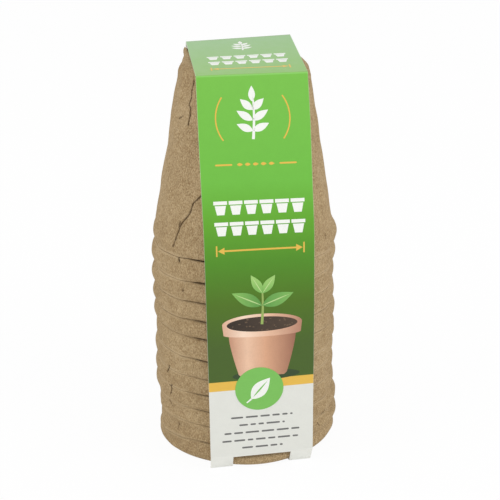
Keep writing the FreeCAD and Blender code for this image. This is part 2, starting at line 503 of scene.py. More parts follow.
def print_material(card, group):
    """The sleeve's printed outside: green fading darker, a yellow stripe and a pale foot."""
    material, tree, shader, made = start_material("printed_card", group, Depth=0.07)
    across, drop, back = card_parts(tree)
    foot = card_line().foot_crease
    edge = CARD_WIDTH / 2
    top = step_mask(tree, drop, -0.1 * MM, -1.0 * MM)

    # Large areas, from the top crease down, then the top panel over them
    colour = ramp(tree, share_of(tree, drop, 0.0, FADE_LENGTH_MM * MM), (
        (0.0, card.green), (0.33, (0.15, 0.48, 0.052)), (0.46, (0.11, 0.36, 0.02)),
        (0.59, card.mid_green), (0.73, (0.072, 0.16, 0.008)), (0.88, card.dark_green)))
    slant, offset, blur = 0.011, 0.25 * MM, 0.1
    slanted = maths(tree, "MULTIPLY_ADD", across, slant, maths(tree, "ADD", drop, offset))
    for start, ink in ((PICTURE_FOOT_MM, card.yellow), (STRIPE_FOOT_MM, card.pale)):
        below = step_mask(tree, slanted, (start - blur) * MM, (start + blur) * MM)
        colour = mix_colour(tree, below, colour, ink)
    # Painted light: the folds below the foot crease face down, and their grey is painted lighter to
    # make up for the shade there
    below = step_mask(tree, drop, foot - 0.3 * MM, foot + 0.3 * MM)
    colour = mix_colour(tree, below, colour, card.pale_foot_painted_light)
    # Painted reflection: the top panel pales towards its back crease, as the white surroundings
    # would show in it
    top_green_and_sheen = mix_colour(tree, back, card.top_near, card.top_far_with_sheen)
    colour = toned(tree, mix_colour(tree, top, colour, top_green_and_sheen), made)

    # The front crease catches light and the back one lies in shade, both painted; cut edges get a
    # thin pale line, and creases are worn
    off_foot = maths(tree, "ABSOLUTE", maths(tree, "SUBTRACT", drop, foot))
    top_crease = step_mask(tree, maths(tree, "ABSOLUTE", drop), 0.75 * MM, 0.25 * MM)
    foot_crease = step_mask(tree, off_foot, 0.6 * MM, 0.2 * MM)
    back_crease = maths(tree, "MULTIPLY", step_mask(tree, back, 0.972, 0.988),
                        step_mask(tree, back, 1.012, 1.0))
    cut_edge = step_mask(tree, maths(tree, "ABSOLUTE", across), edge - 0.14 * MM, edge - 0.04 * MM)
    bright = tuple(min(1.0, 1.4 * c) for c in card.green)
    colour = mix_colour(tree, maths(tree, "MULTIPLY", top_crease, 0.32), colour, bright)
    colour = mix_colour(tree, maths(tree, "MULTIPLY", back_crease, 0.3), colour, card.dark_green)
    creased = maths(tree, "MULTIPLY", maths(tree, "MAXIMUM", top_crease, foot_crease), 0.08)
    pale_edges_and_creases = maths(tree, "MAXIMUM", maths(tree, "MULTIPLY", cut_edge, 0.35), creased)
    colour = mix_colour(tree, pale_edges_and_creases, colour, card.white)
    finish_ink(tree, shader, colour, made)
    # The top panel is glossier, and mirrors more of the white surroundings
    tree.links.new(maths(tree, "MULTIPLY", top, 0.42), shader["Coat Weight"])
    shader["Coat Roughness"].default_value = 0.36
    return material


def board_material(card, group):
    """Bare white board: the sleeve's inside and its cut edges."""
    material, tree, shader, made = start_material("bare_board", group, Depth=0.10)
    tree.links.new(toned(tree, card.board, made), shader["Base Color"])
    shader["Roughness"].default_value = 0.75
    add_bump(tree, shader, made["Height"], 0.03 * MM)
    return material


def ink_material(name, group, stops, along="Y", low=0.0, high=1000.0, depth=0.07):
    """Ink shaded along the card's width (X) or length (Y), between two places in mm."""
    material, tree, shader, made = start_material(name, group, Depth=depth)
    share = share_of(tree, card_parts(tree)[along], low * MM, high * MM)
    finish_ink(tree, shader, toned(tree, ramp(tree, share, stops), made), made)
    return material


# Pots

def pot_rows(pots, is_top, is_torn):
    """Rows of a pot's closed section, base to lip outside and back inside: radius, height, part."""
    mouth = RIM_RADIUS - pots.rim_thickness
    lip = mouth + pots.lip_width
    inside_top = POT_HEIGHT - pots.base_thickness
    taper = (pots.wall_thickness + pots.wall_gap) / NEST_STEP
    bend = math.pi / 2 - math.atan(taper)
    shoulder = pots.rim_height + (2.6 if is_top else 0.25) * MM
    wall_step = (0.42 if is_top else 6) * MM
    rim_rows = 37 if is_torn else 19

    def inner(height):
        return mouth - taper * height

    def outer(height):
        return inner(height) + pots.wall_thickness

    def corner(reach, height, rounding, angles, part):
        """Edge of a flat end, and rows of the round corner there. End and wall would meet at
        reach."""
        flat = reach - rounding * math.tan(bend / 2)
        return flat, [(flat + rounding * math.sin(angle),
                       height - rounding * (1 - math.cos(angle)), part) for angle in angles]

    def disc_rows(flat, height, shares, part):
        """Rows over a flat end, from its drain hole to its edge."""
        return [(pots.hole_radius + (flat - pots.hole_radius) * share, height, part)
                for share in shares]

    flat, edge_rows = corner(outer(POT_HEIGHT), POT_HEIGHT, pots.base_rounding,
                             np.linspace(0, bend, 9 if is_top else 5)[1:], "wall")
    rows = disc_rows(flat, POT_HEIGHT, np.linspace(0, 1, 9 if is_top else 4), "base") + edge_rows
    wall_top = rows[-1][1]
    levels = np.linspace(wall_top, shoulder, max(3, int((wall_top - shoulder) / wall_step)))
    rows += [(outer(height), height, "wall") for height in levels[1:]]
    if is_top:
        # A soft hollow between the wall and the rim
        start, fall = outer(shoulder), shoulder - pots.rim_height + 0.3 * MM
        for share in (0.25, 0.5, 0.75):
            ease = (smooth(share, 0, 1) + share) / 2
            rows.append((start + (lip - 0.05 * MM - start) * ease, shoulder - fall * share, "rim"))
    else:
        rows.append((outer(shoulder), pots.rim_height, "neck"))

    # The rim's side is an arc from its shoulder to the lip
    half, sagitta = pots.rim_height / 2, RIM_RADIUS - lip
    bulge = (half * half + sagitta * sagitta) / (2 * sagitta)
    swing_angle = math.asin(half / bulge)
    for angle in np.linspace(swing_angle, -swing_angle, rim_rows)[1:-1]:
        rows.append((RIM_RADIUS - bulge * (1 - math.cos(angle)),
                     half + bulge * math.sin(angle), "rim"))
    edge = 0.28 * MM
    rows += [
        (lip - 0.02 * MM, edge, "lip"),
        (lip - edge * 0.45, edge * 0.25, "lip"),
        ((mouth + lip) / 2, 0.0, "lip"),
        (mouth + edge * 0.35, edge * 0.25, "lip"),
        (mouth, edge * 1.2, "inside"),
        (mouth - 0.06 * MM, edge * 1.8, "inside"),
    ]
    levels = np.linspace(edge * 1.8, inside_top - pots.base_rounding, 16)
    rows += [(inner(height), height, "inside") for height in levels[1:]]
    flat, edge_rows = corner(inner(inside_top), inside_top,
                             pots.base_rounding - pots.wall_thickness,
                             np.linspace(bend, 0, 6), "inside")
    return rows + edge_rows + disc_rows(flat, inside_top, (0.66, 0.33, 0.0), "inside")


def columns(tears):
    """Angles round a pot, closer together at its tears."""
    angles = np.linspace(-math.pi, math.pi, 300, endpoint=False)
    step, margin = math.radians(0.32), math.radians(1.6)
    for tear in tears:
        places = [math.radians(point[0]) for point in tear]
        low, high = min(places) - margin, max(places) + margin
        count = int((max(places) - min(places) + 2 * margin) / step)
        angles = angles[(angles < low) | (angles > high)]
        angles = np.append(angles, np.linspace(low, high, count))
    return np.unique(np.round(angles, 5))


def seat_heights(number, angle, radius):
    """Height of a pot's mouth plane at each place: its seat in the nest, lift, lean and roll."""
    seen = angle + bpy.context.scene.pot_stage.azimuth
    base = TOP_LOW.z - number * NEST_STEP + POT_LIFTS_MM[number] * MM
    lean = radius * np.cos(seen) * math.tan(math.radians(POT_LEANS_DEG[number]))
    roll = radius * np.sin(seen) * (POT_ROLLS_MM[number] * MM / RIM_RADIUS)
    drop = LEFT_DROPS_MM.get(number, 0) * MM * hump(seen, -math.pi / 2, DROP_SPREAD)
    return base + lean + roll - drop


def under_card(x, y):
    """Height of the top pot's closed end: the slant of the card that lies on it."""
    (front_y, front_z), (back_y, back_z) = CardLine.top_front, CardLine.top_back
    clearance, front_roll, more_behind = 0.65 * MM, 0.013, 0.033
    back_share = (y - front_y) / (back_y - front_y)
    roll = front_roll + more_behind * np.clip(back_share, 0, 1)
    return front_z - clearance + (back_z - front_z) * back_share + x * roll


def gap_opening(groove, angle):
    """How far a lip stands off the next shoulder: widest at the card's left edge, none right."""
    if groove not in range(len(GAP_ENDS_DEG)):
        return 0 * angle
    share = plateau(np.degrees(angle), GAP_ENDS_DEG[groove], -37, 5, 22)
    uneven = np.clip(1 + 0.25 * ripple(angle, 0, 300 + groove, 10, (5, 19)), 0.3, 1.7)
    return share * uneven * GAP_OPENINGS_MM[groove] * MM


def groove_filling(groove, angle):
    """How far a groove's edges stand out where it is pressed shut beside the card, or lie in near
    the outline."""
    if groove not in range(len(GROOVES_SHUT_MM)):
        return 0 * angle
    degrees = np.degrees(angle)
    on_left = plateau(-degrees, 44, 54, 72, 88) * GROOVES_SHUT_MM[groove]
    on_right = plateau(degrees, 16, 26, 50, 68) * RIGHT_SHUT_MM
    hollow = 0.2 * hump(degrees, -99, 15) + 0.5 * hump(degrees, 81, 15)
    return (on_left + on_right - hollow) * MM


def tear_depth(tears, angle, height, radius):
    """How deep each place lies in a tear, and how near it is to a tear's raised side, 0 to 1."""
    deep, proud = np.zeros(angle.shape), np.zeros(angle.shape)
    width = (0.25 + 0.07 * np.sin(height * 1900) + 0.05 * np.sin(height * 5300 + 1)) * MM
    for tear in tears:
        for (angle_0, height_0), (angle_1, height_1) in zip(tear, tear[1:]):
            x, z = (angle - math.radians(angle_0)) * radius, height - height_0 * MM
            run_x = math.radians(angle_1 - angle_0) * radius
            run_z = (height_1 - height_0) * MM
            share = np.clip((x * run_x + z * run_z) / (run_x ** 2 + run_z ** 2), 0, 1)
            gap = np.hypot(x - share * run_x, z - share * run_z)
            on_raised_side = x * run_z - z * run_x > 0
            deep = np.maximum(deep, hump(gap, 0, width))
            proud = np.maximum(proud, hump(gap, 0, TEAR_EDGE_WIDTH) * on_raised_side)
    return deep, proud


class PotSkin:
    """One pot's skin: rows down its section by columns round it."""

    def __init__(self, number):
        self.number = number
        self.is_top = number == 0
        self.sizes = bpy.context.scene.pot_sizes
        self.tears = TEARS.get(number, ())
        rows = pot_rows(self.sizes, self.is_top, bool(self.tears))
        turns = columns(self.tears)
        part = np.array([row[2] for row in rows])[:, None]
        self.radius, self.height = (
            np.array([row[k] for row in rows])[:, None] + 0 * turns for k in (0, 1))
        self.angle = turns + 0 * self.radius
        self.degrees = np.degrees(self.angle)
        # Azimuth as the camera sees it: 0 is towards it
        self.seen = self.angle + bpy.context.scene.pot_stage.azimuth
        self.rim, self.lip, self.neck, self.inside = (
            part == name for name in ("rim", "lip", "neck", "inside"))
        self.outside = self.rim | (part == "wall") | (part == "base")
        mouth_edge = RIM_RADIUS - self.sizes.rim_thickness
        self.rim_share = np.clip(self.height / self.sizes.rim_height, 0, 1)
        self.lip_share = np.clip((self.radius - mouth_edge) / self.sizes.lip_width, 0, 1)
        # The groove under this rim, and the one above it
        grooves = (number, number - 1)
        self.filling, self.filling_above = (groove_filling(n, self.angle) for n in grooves)
        self.opening, self.opening_above = (gap_opening(n, self.angle) for n in grooves)

    def shape_rim(self):
        """Swell and shift the rim, most at its widest circle, and fill what is pressed shut."""
        number = self.number
        unevenness, least, at_lip = 0.08, 0.25, 0.15
        swell = (RIM_SWELLS_MM[number] + POT_SHIFTS_MM[number] * np.sin(self.seen)
                 + unevenness * ripple(self.angle, 0, 100 + number, 12, (2, 9))) * MM
        arch = np.sin(math.pi * self.rim_share)
        filling = np.where(self.rim_share < 0.5, self.filling, self.filling_above)
        on_rim = swell * np.clip(arch, least, 1) + filling * (1 - arch)
        on_lip = swell * at_lip + self.filling * self.lip_share
        self.radius += np.where(self.rim, on_rim, 0) + np.where(self.lip, on_lip, 0)

    def draw_in_foot(self):
        """The lowest rim stands in under the sleeve's front, and draws in at its edge beside it."""
        edge_height, step_low, step_high = 4.5 * MM, 3.2 * MM, 5.0 * MM
        front = hump(self.angle, 0, 0.36)
        edge = 1 - smooth(self.height, 0.0, edge_height)
        inwards = (0.35 + 0.25 * np.sin(self.seen) - 0.85 * front) * MM * edge
        under = 1.4 * MM * front * smooth(self.height, step_low, step_high)
        self.radius -= np.where(self.lip, inwards * self.lip_share, 0)
        self.radius -= np.where(self.rim, inwards + under, 0)

    def add_lumps(self):
        """Bumps of the moulded skin, half as high on rims. Of the walls, only the top pot's has
        them, since the others are hidden."""
        apart = 0.031
        lumps = self.sizes.lump_height * ripple(
            self.angle, self.height + self.number * apart, 7 + self.number)
        on_wall = np.where(self.outside & self.is_top, lumps, 0)
        self.radius += np.where(self.rim, lumps * 0.5, on_wall)

    def push_out_wall(self):
        """The top pot's wall stands out beside the card, and its closed end is pushed out on the
        left behind it, past a dent."""
        levels, on_left, on_right = np.array(WALL_SWELLS_MM).T * MM
        height, rim_height = self.height, self.sizes.rim_height
        beside = np.interp(height, levels, on_left) * hump(self.seen, -math.pi / 2, SWELL_SPREAD)
        beside += np.interp(height, levels, on_right) * hump(self.seen, math.pi / 2, SWELL_SPREAD)
        beside *= smooth(height, rim_height * 0.95, rim_height * 1.25)
        corner = 5.5 * MM * hump(self.degrees, -140, 13) * smooth(height, 70 * MM, 77 * MM)
        dent = 1.2 * MM * hump(self.degrees, -108, 12) * smooth(height, 66 * MM, 75 * MM)
        off_middle = smooth(self.radius, 12 * MM, 22 * MM)
        self.radius += np.where(self.outside, (beside + corner - dent) * off_middle, 0)

    def tear(self):
        """Sink the tears, raise one edge of each, and give back how dark each place in them is."""
        deep, proud = tear_depth(self.tears, self.angle, self.height, self.radius)
        self.radius -= np.where(self.outside, deep * TEAR_DEPTH - proud * TEAR_EDGE_HEIGHT, 0)
        return np.where(self.outside, deep ** 1.3, 0)

    def closed_end(self, x, y):
        """Heights of the top pot's wall as its closed end would have them, under the card."""
        raised = 2.1 * MM * hump(self.degrees, -134, 14) * smooth(-x, 21.6 * MM, 22.5 * MM)
        sunk = 0.85 * MM * smooth(x, 11 * MM, 22 * MM) * smooth(y, -14 * MM, 4 * MM)
        uneven = (raised - sunk) * smooth(self.height, 66 * MM, 75 * MM)
        return under_card(x, y) + self.height - POT_HEIGHT + uneven

    def heights(self, x, y, shut):
        """Walls keep their even places, each rim fills the room between its mouth and the next
        rim's, and the top pot's wall leads over to its closed end."""
        number, height = self.number, self.height
        seat = seat_heights(number, self.angle, self.radius)
        z = TOP_LOW.z - number * NEST_STEP + height
        if self.is_top:
            share = np.clip(height / POT_HEIGHT, 0, 1)
            rise = height
            led_over = (seat + height) * (1 - share) + self.closed_end(x, y) * share
            z = np.where(self.outside | self.lip, led_over, z)
        else:
            room = seat_heights(number - 1, self.angle, self.radius) - 0.02 * MM - seat
            rise = room * (self.rim_share - 0.16 * self.rim_share * (1 - self.rim_share))
            z = np.where(self.rim | self.lip, seat + rise, z)
            z = np.where(self.neck, seat + room + 0.05 * MM, z)
        z += np.where(self.rim | self.lip, self.opening * (1 - smooth(height, 0.0, 2.6 * MM)), 0)
        # Where a groove is shut, the lip's outer edge comes down to the mouth plane
        z -= np.where(self.lip & (self.lip_share > 0.9), rise * shut, 0)
        # The inside's edge follows the mouth
        mouth = seat + self.opening + height
        z = np.where(self.inside & (height < 2 * MM), np.maximum(z, mouth), z)
        edge_row = int(np.argmax(self.inside))
        z[edge_row] = mouth[edge_row]
        return z

    def shades(self, tears_and_shade, x, y, z, shut):
        """Lips and shoulders are paler where they touch, partly worn and partly painted light; gaps
        and the rim under the sleeve's slot are darkened with painted shade.
        """
        lip_band, shoulder_band, lighter_when_shut = 0.10, 0.07, 0.7
        gap_shade, slot_shade = 0.8, 0.4
        near_lip = np.where(self.rim, hump(self.rim_share, 0, lip_band), 0.0)
        at_lip = np.where(self.lip, 1.0, near_lip)
        under_next = self.rim & (not self.is_top)
        at_shoulder = np.where(under_next, hump(self.rim_share, 1, shoulder_band), 0.0)
        shut_above = np.clip(self.filling_above / (CLOSED_MM * MM), 0, 1)
        gap, gap_above = (np.clip(opening / (DARK_GAP_MM * MM), 0, 1)
                          for opening in (self.opening, self.opening_above))
        # Painted light: lips and shoulders are lightened where they touch, more where a groove is
        # pressed shut, partly for being worn and partly to lift the shade under each lip
        rubbed_and_lit = np.maximum(at_lip * (1 - gap) * (1 + lighter_when_shut * shut),
                            at_shoulder * (1 - gap_above) * (1 + lighter_when_shut * shut_above))
        # Painted shade: the lip, the neck and the shoulder's top edge are darkened where a gap
        # opens between two rims
        in_gap_above = self.neck | (self.rim & (self.rim_share > 0.985))
        dark = np.maximum(np.where(self.lip, gap, 0), np.where(in_gap_above, gap_above, 0))
        tears_and_shade = np.maximum(tears_and_shade, gap_shade * dark)
        if self.number == LAST_POT:
            # Painted shadow: the lowest rim is darkened where it stands in under the top edge of
            # the sleeve's slot
            in_slot = (1 - smooth(np.abs(x), 9 * MM, 17 * MM)) * (y < 0)
            under_slot = smooth(z, 3.7 * MM, 5.6 * MM) * in_slot
            tears_and_shade = np.maximum(tears_and_shade, slot_shade * np.where(self.rim, under_slot, 0))
        return {"tears_and_shade": tears_and_shade.ravel(), "rubbed_and_lit": rubbed_and_lit.ravel()}


def closed_grid(rows, cols):
    """Faces over a grid of points that closes on itself both ways."""
    row, col = np.divmod(np.arange(rows * cols), cols)
    after, beside = (row + 1) % rows * cols, (col + 1) % cols
    row = row * cols
    return np.stack([row + col, after + col, after + beside, row + beside], axis=-1).tolist()


def build_pot(number, materials):
    """One pot, from its true section to its uneven skin, with its tears, worn edges, painted light
    and painted shade.
    """
    skin = PotSkin(number)
    skin.shape_rim()
    if number == LAST_POT:
        skin.draw_in_foot()
    skin.add_lumps()
    if skin.is_top:
        skin.push_out_wall()
    tears_and_shade = skin.tear() if skin.tears else np.zeros(skin.radius.shape)
    x = skin.radius * np.sin(skin.angle)
    y = -skin.radius * np.cos(skin.angle)
    shut = np.clip(skin.filling / (CLOSED_MM * MM), 0, 1)
    z = skin.heights(x, y, shut)
    verts = np.stack([x, y, z], axis=-1).reshape(-1, 3)
    node = POT_NODES[number]
    piece = make_mesh(f"fibre_{node}", verts, closed_grid(*x.shape), materials,
                      fields=skin.shades(tears_and_shade, x, y, z, shut))
    return dress(piece, STACK_BODY, "fibre", node)


# Sleeve

class CardLine:
    """The sleeve's outer line as it is folded, in side view, measured down from the top front
    crease."""

    top_front = (-27.6 * MM, 170.65 * MM)
    top_back = (28.8 * MM, 174.3 * MM)
    bend_height = 108.0 * MM
    panel_depth = 40.8 * MM
    foot_height = 6.9 * MM
    fold_depth = 37.2 * MM
    crease_radius = 0.5 * MM
    bend_radius = 60 * MM
    seam_share = 0.5
    # Height, and how far right the left and right edges lie there, in mm
    edge_drifts = (
        (0, 0.2, -0.65), (8, -0.2, -0.45), (20, -0.1, -0.3), (30, 0.0, -0.25), (50, 0.0, 0.1),
        (75, 0.0, 0.35), (110, 0.0, 0.45), (150, 0.0, 0.45), (162, 0.0, 0.2), (169, 0.0, 0.0))

    def __init__(self):
        panel, fold, crease = self.panel_depth, self.fold_depth, self.crease_radius
        seam_y = self.top_back[0] + (panel - self.top_back[0]) * self.seam_share
        seam_z = self.top_back[1] + (self.bend_height - self.top_back[1]) * self.seam_share
        points, marks = self.round_corners([
            (seam_y, seam_z, 0),
            (*self.top_back, crease),
            (*self.top_front, crease),
            (-panel, self.bend_height, self.bend_radius),
            (-panel, self.foot_height, crease),
            (-fold, 0.0, crease),
            (fold, 0.0, crease),
            (panel, self.foot_height, crease),
            (panel, self.bend_height, self.bend_radius),
            (seam_y, seam_z, 0),
        ])
        run = np.append(0.0, np.cumsum(np.hypot(*np.diff(points, axis=0).T)))
        start = run[marks[2]]
        self.points = points
        self.down = run - start
        self.back_crease, self.foot_crease, self.front_fold, self.back_fold, self.back_foot = (
            run[marks[corner]] - start for corner in (1, 4, 5, 6, 7))
        self.length = run[-1]
        along = np.gradient(points, run, axis=0)
        along /= np.hypot(along[:, 0], along[:, 1])[:, None]
        self.outwards = np.stack([along[:, 1], -along[:, 0]], axis=-1)

    @staticmethod
    def round_corners(corners):
        """Points of a line with its corners rounded, and each corner's middle as an index."""
        points = [np.array(corners[0][:2])]
        marks = {}
        for index in range(1, len(corners) - 1):
            before, corner, after = (np.array(corners[index + k][:2]) for k in (-1, 0, 1))
            radius = corners[index][2]
            back = (before - corner) / np.linalg.norm(before - corner)
            ahead = (after - corner) / np.linalg.norm(after - corner)
            half = math.acos(np.clip(back @ ahead, -1, 1)) / 2
            reach = radius / math.tan(half)
            middle = (back + ahead) / np.linalg.norm(back + ahead)
            centre = corner + middle * radius / math.sin(half)
            start, end = corner + back * reach - centre, corner + ahead * reach - centre
            shares = np.linspace(0, 1, 9)
            marks[index] = len(points) + len(shares) // 2
            for share in shares:
                way = start + (end - start) * share
                points.append(centre + way / np.linalg.norm(way) * radius)
        points.append(np.array(corners[-1][:2]))
        return np.array(points), marks

    def drop(self, down):
        """Distance below the nearer top crease, on both sides. The top itself is 2 mm above."""
        below = np.minimum(down, self.length + self.back_crease - down)
        behind = self.back_crease - down
        return np.where(down < self.back_crease, behind, np.where(down < 0, -2 * MM, below))

    def place(self, across, down, lift):
        """Point of the folded sleeve, lifted off the card's outer face."""
        across, down, lift = np.broadcast_arrays(across, down, lift)
        y, z, out_y, out_z = (np.interp(down, self.down, values)
                              for values in (*self.points.T, *self.outwards.T))
        # The panels are faintly wavy between their creases
        wave_height, wave_across, wave_down = 0.14 * MM, 95, 60
        wave = wave_height * np.sin(across * wave_across + 1.1) * np.sin(down * wave_down + 0.4)
        wave = wave * plateau(z, 8 * MM, 40 * MM, 150 * MM, 168 * MM)
        size = np.hypot(out_y, out_z)
        y = y + out_y / size * (lift + wave)
        z = z + out_z / size * (lift + wave)
        # The top rolls up to the right and slides over, more so behind
        side = across / (CARD_WIDTH / 2)
        depth_share = np.clip(
            (y - self.top_front[0]) / (self.top_back[0] - self.top_front[0]), 0, 1)
        near_top = smooth(z, 120 * MM, 170 * MM) * MM
        roll = (0.3 + 0.75 * depth_share) * near_top
        skew = (0.62 + 0.33 * side) * depth_share * near_top
        # The long edges bulge a little at mid height and draw in at the foot
        heights, *sides = np.array(self.edge_drifts).T * MM
        on_left, on_right = (np.interp(z, heights, drifts) for drifts in sides)
        narrowing = 1.6 * MM
        underneath = smooth(-np.abs(y), -36.5 * MM, -32 * MM) * (z < self.foot_height)
        drift = np.where(across < 0, on_left, on_right) - narrowing * underneath * np.sign(across)
        turn = bpy.context.scene.card_sizes.twist * (1 - 2 * z / CARD_HIGH.z)
        x = across * np.cos(turn) - y * np.sin(turn)
        y = across * np.sin(turn) + y * np.cos(turn)
        return np.stack([x + skew + drift * np.abs(side), y, z + side * roll], axis=-1)


def card_line():
    """The one folded line, worked out once."""
    if "line" not in card_line.__dict__:
        card_line.line = CardLine()
    return card_line.line


def stations(low, high, step, extra=()):
    """Places from low to high about a step apart, and the extra ones."""
    values = list(np.linspace(low, high, max(2, int(round((high - low) / step)) + 1)))
    return np.unique(np.round(values + list(extra), 7))


def card_plate(name, across, down, lifts, materials, kept):
    """A plate of card over a grid of stations, with an outer and an inner face at their lifts."""
    line = card_line()
    grid_a, grid_d = np.meshgrid(across, down)
    wrapped = np.where(grid_d > line.down[-1], grid_d - line.length, grid_d)
    outer, inner = (line.place(grid_a, wrapped, lift).reshape(-1, 3) for lift in lifts)
    rows, cols = grid_a.shape
    size = rows * cols

    def solid(row, col):
        if not (0 <= row < rows - 1 and 0 <= col < cols - 1):
            return False
        return kept((across[col] + across[col + 1]) / 2, (down[row] + down[row + 1]) / 2)

    # Printed outside and bare inside, with bare walls in slots and at the ends
    faces, slots = [], []
    for row, col in np.ndindex(rows - 1, cols - 1):
        if not solid(row, col):
            continue
        a, b = row * cols + col, row * cols + col + 1
        c, d = b + cols, a + cols
        faces += [(a, d, c, b), (a + size, b + size, c + size, d + size)]
        slots += [0, 1]
        for (u, v), beside in (((a, b), (row - 1, col)), ((b, c), (row, col + 1)),
                               ((c, d), (row + 1, col)), ((d, a), (row, col - 1))):
            if not solid(*beside):
                faces.append((u, v, v + size, u + size))
                slots.append(1 if 0 <= beside[1] < cols - 1 else 0)
    top_share = np.clip(wrapped / line.back_crease, 0, 2)
    places = np.stack([grid_a, line.drop(wrapped), top_share], axis=-1).reshape(-1, 3)
    piece = make_mesh(name, np.concatenate([outer, inner]), faces, materials, slots,
                      {"card_place": np.concatenate([places, places])})
    used = bmesh.new()
    used.from_mesh(piece.data)
    bmesh.ops.delete(used, geom=[v for v in used.verts if not v.link_faces], context="VERTS")
    bmesh.ops.recalc_face_normals(used, faces=used.faces)
    used.to_mesh(piece.data)
    used.free()
    piece.data.set_sharp_from_angle(angle=math.radians(40))
    return piece


def build_sleeve(print_ink, board):
    """The folded loop, open at the seam behind, and the strip inside that closes it."""
    card = bpy.context.scene.card_sizes
    line = card_line()
    thickness = card.thickness
    half, slot_half = CARD_WIDTH / 2, card.slot_width / 2
    grid, slot_reach, overlap = 2.0 * MM, 5.5 * MM, 15 * MM
    slots = ((line.foot_crease + 0.9 * MM, line.front_fold + slot_reach),
             (line.back_fold - slot_reach, line.back_foot - 1.3 * MM))
    first, last = line.down[0], line.down[-1]
    seam = last - 0.3 * MM

    def uncut(across, down):
        return abs(across) >= slot_half or not any(low < down < high for low, high in slots)

    marks = [*line.down[line.down < seam], *slots[0], *slots[1]]
    loop = card_plate("folded_card", stations(-half, half, 1.9 * MM, (-slot_half, slot_half)),
                      stations(first, seam, grid, marks),
                      (0.0, -thickness), [print_ink, board], uncut)
    dress(loop, SLEEVE_BODY, "card", SLEEVE_NODE)
    under = -thickness - 0.01 * MM
    inset = half - 0.4 * MM
    strip = card_plate("overlap_strip", stations(-inset, inset, 1.9 * MM),
                       stations(last - overlap, last + 0.6 * MM, grid, (last,)),
                       (under, under - thickness), [print_ink, board], lambda across, down: True)
    dress(strip, SLEEVE_BODY, "card")


# Printed ornaments, as outlines in millimetres across and down the card

def leaf(at, length, width, angle):
    """Pointed oval from its stalk at a point, growing along an angle: 0 is up the card."""
    side = [(width / 2 * math.sin(math.pi * share ** 0.85), share * length)
            for share in np.linspace(0, 1, 11)]
    outline = side + [(-w, h) for w, h in reversed(side[1:-1])]
    sin, cos = math.sin(angle), math.cos(angle)
    return [(at[0] + w * cos + h * sin, at[1] - h * cos + w * sin) for w, h in outline]


def leaf_pair(at, length, width, angles):
    """Two leaves from one point."""
    return [leaf(at, length, width, angle) for angle in angles]


def seed_row(places, down):
    """Level row of small leaves."""
    length, width = 2.4, 1.25
    return [leaf((place - length / 2, down), length, width, math.pi / 2) for place in places]


def disc(at, radius_a, radius_d, count=56):
    """Oval, by its radius across and down the card."""
    return [(at[0] + radius_a * math.cos(t), at[1] + radius_d * math.sin(t))
            for t in np.linspace(0, math.tau, count, endpoint=False)]


def ring_arc(at, radius, width, middle, reach):
    """Band of a circle, as far as reach either side of its middle."""
    turns = np.linspace(middle - reach, middle + reach, 28)
    outer, inner = ([(at[0] + r * math.sin(t), at[1] - r * math.cos(t)) for t in turns]
                    for r in (radius, radius - width))
    return outer + inner[::-1]


def capsule(low, high, down, height):
    """Level bar with round ends."""
    radius = height / 2
    ends = []
    for middle, way in ((high - radius, 1), (low + radius, -1)):
        ends += [(middle + way * radius * math.sin(t), down - way * radius * math.cos(t))
                 for t in np.linspace(0, math.pi, 7)]
    return ends


def ribbon(points, widths):
    """Band along a line of points, as wide at each as stated."""
    points = np.array(points)
    along = np.gradient(points, axis=0)
    along /= np.hypot(along[:, 0], along[:, 1])[:, None]
    across = np.stack([-along[:, 1], along[:, 0]], axis=-1) * np.array(widths)[:, None] / 2
    return [tuple(p) for p in points + across] + [tuple(p) for p in (points - across)[::-1]]


def sign_rows(columns, rows, size):
    """Rows of little upright pots, each a rim bar over a tapering body."""
    rim = ((-0.5, -0.5), (0.5, -0.5), (0.5, -0.24), (-0.5, -0.24))
    body = ((-0.41, -0.17), (0.41, -0.17), (0.27, 0.5), (-0.27, 0.5))
    return [[(a + size * u, d + size * v) for u, v in shape]
            for d in rows for a in columns for shape in (rim, body)]


def width_arrow(low, high, down, thickness, inset, head, bar_half):
    """Level line with a head and an end bar at both ends. The head is its point, end and half
    width, measured from the line's end."""
    point, end, head_half = head
    bar = 0.3
    shapes = [capsule(low + inset, high - inset, down, thickness)]
    for tip, way in ((low, 1), (high, -1)):
        shapes.append([(tip + way * point, down), (tip + way * end, down - head_half),
                       (tip + way * end, down + head_half)])
        shapes.append([(tip - bar, down - bar_half), (tip + bar, down - bar_half),
                       (tip + bar, down + bar_half), (tip - bar, down + bar_half)])
    return shapes


def sprig(at, size):
    """Upright sprig: a stem with pairs of leaves and one at its tip."""
    a, d = at
    stem = [(a + size * 0.03 * math.sin(t * 3), d + size * 0.5 - size * t)
            for t in np.linspace(0, 0.8, 9)]
    shapes = [ribbon(stem, np.linspace(0.055, 0.03, 9) * size)]
    for share, length, spread in ((0.16, 0.34, 1.15), (0.36, 0.36, 1.0), (0.56, 0.31, 0.82)):
        foot = (a, d + size * (0.5 - share))
        shapes += leaf_pair(foot, size * length, size * 0.145, (-spread, spread))
    shapes.append(leaf((a, d - size * 0.22), size * 0.30, size * 0.13, 0.0))
    return shapes


def dash_rows(places, reaches, seed):
    """Rows of short level bars with round ends, centred on the card."""
    rng = np.random.default_rng(seed)
    thickness, space, shortest = 0.8, 1.1, 0.9
    dashes = []
    for row, reach in zip(places, reaches):
        place = -reach
        while place < reach - 1.0:
            length = min(rng.uniform(2.2, 6.0), reach - place)
            if length > shortest:
                dashes.append(capsule(place, place + length, row, thickness))
            place += length + space
    return dashes


